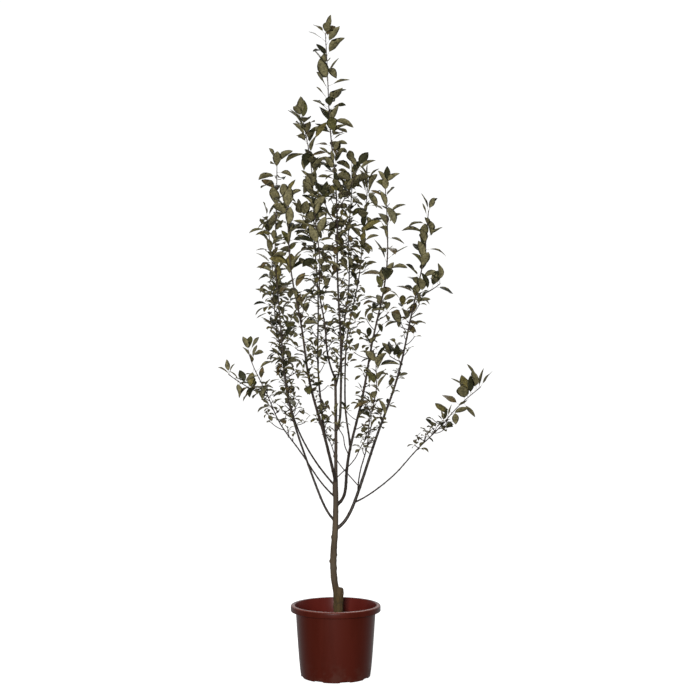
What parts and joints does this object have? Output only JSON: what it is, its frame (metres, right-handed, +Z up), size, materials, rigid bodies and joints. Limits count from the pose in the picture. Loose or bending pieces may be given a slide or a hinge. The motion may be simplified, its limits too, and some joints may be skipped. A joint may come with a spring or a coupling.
{
  "type": "potted crabapple tree",
  "caption": "Tall, slender multi-leader crabapple tree in olive green summer leaf, planted in a dark red-brown plastic nursery pot.",
  "frame": {"origin": "centre of the pot's flat underside", "axes": "+Z up along the trunk; +X to the right seen from the front; the front faces -Y"},
  "size_m": [1.0066, 0.699, 2.4194],
  "materials": {
    "pot_plastic": "satin",
    "potting_mix": "matte",
    "bark": "satin",
    "leaf": "satin"
  },
  "bodies": {
    "root": {"pot": "pot_plastic", "potting_mix": "potting_mix", "trunk": "bark", "left_bough": "bark", "left_back_bough": "bark", "left_low_bough": "bark", "left_front_bough": "bark", "back_left_bough": "bark", "front_bough": "bark", "leader_bough": "bark", "back_bough": "bark", "right_front_bough": "bark", "right_back_bough": "bark", "right_bough": "bark", "right_inner_bough": "bark", "right_low_bough": "bark", "left_foliage": "leaf", "left_back_foliage": "leaf", "left_low_foliage": "leaf", "left_front_foliage": "leaf", "back_left_foliage": "leaf", "front_foliage": "leaf", "leader_foliage": "leaf", "back_foliage": "leaf", "right_front_foliage": "leaf", "right_back_foliage": "leaf", "right_foliage": "leaf", "right_inner_foliage": "leaf", "right_low_foliage": "leaf", "inner_left_foliage": "leaf", "inner_middle_foliage": "leaf", "inner_right_foliage": "leaf"}
  },
  "joints": []
}
